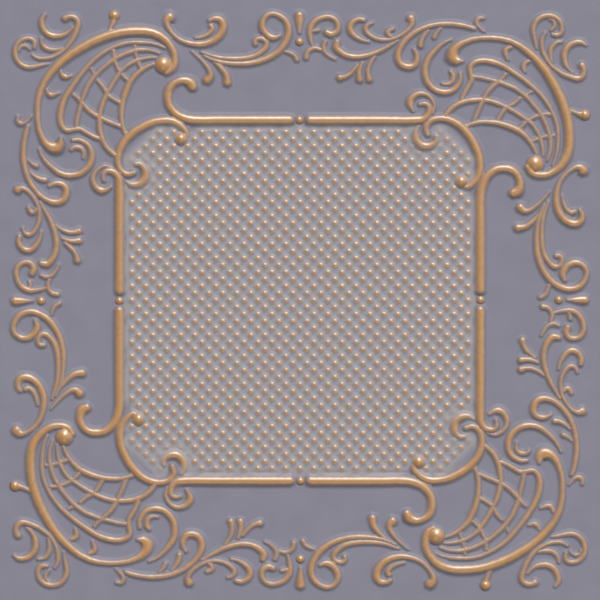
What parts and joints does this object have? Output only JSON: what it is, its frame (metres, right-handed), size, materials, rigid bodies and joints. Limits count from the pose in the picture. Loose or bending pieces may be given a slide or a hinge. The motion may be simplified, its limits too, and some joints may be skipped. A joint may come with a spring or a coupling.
{
  "type": "faux tin ceiling tile",
  "caption": "Square pressed plastic ceiling tile with raised scroll, shell and bead frame ornament round a dotted field, open from behind.",
  "frame": {"origin": "centre of the back face, on the plane that the flat ground lies on", "axes": "+Z out of the decorated face, +X and +Y along the square's sides"},
  "size_m": [0.603, 0.603, 0.0063],
  "materials": {
    "painted_sheet": "matt slate grey paint over pressed PVC, old gold rubbed on the raised ornament"
  },
  "bodies": {
    "root": {"ceiling_tile": "painted_sheet"}
  },
  "joints": []
}
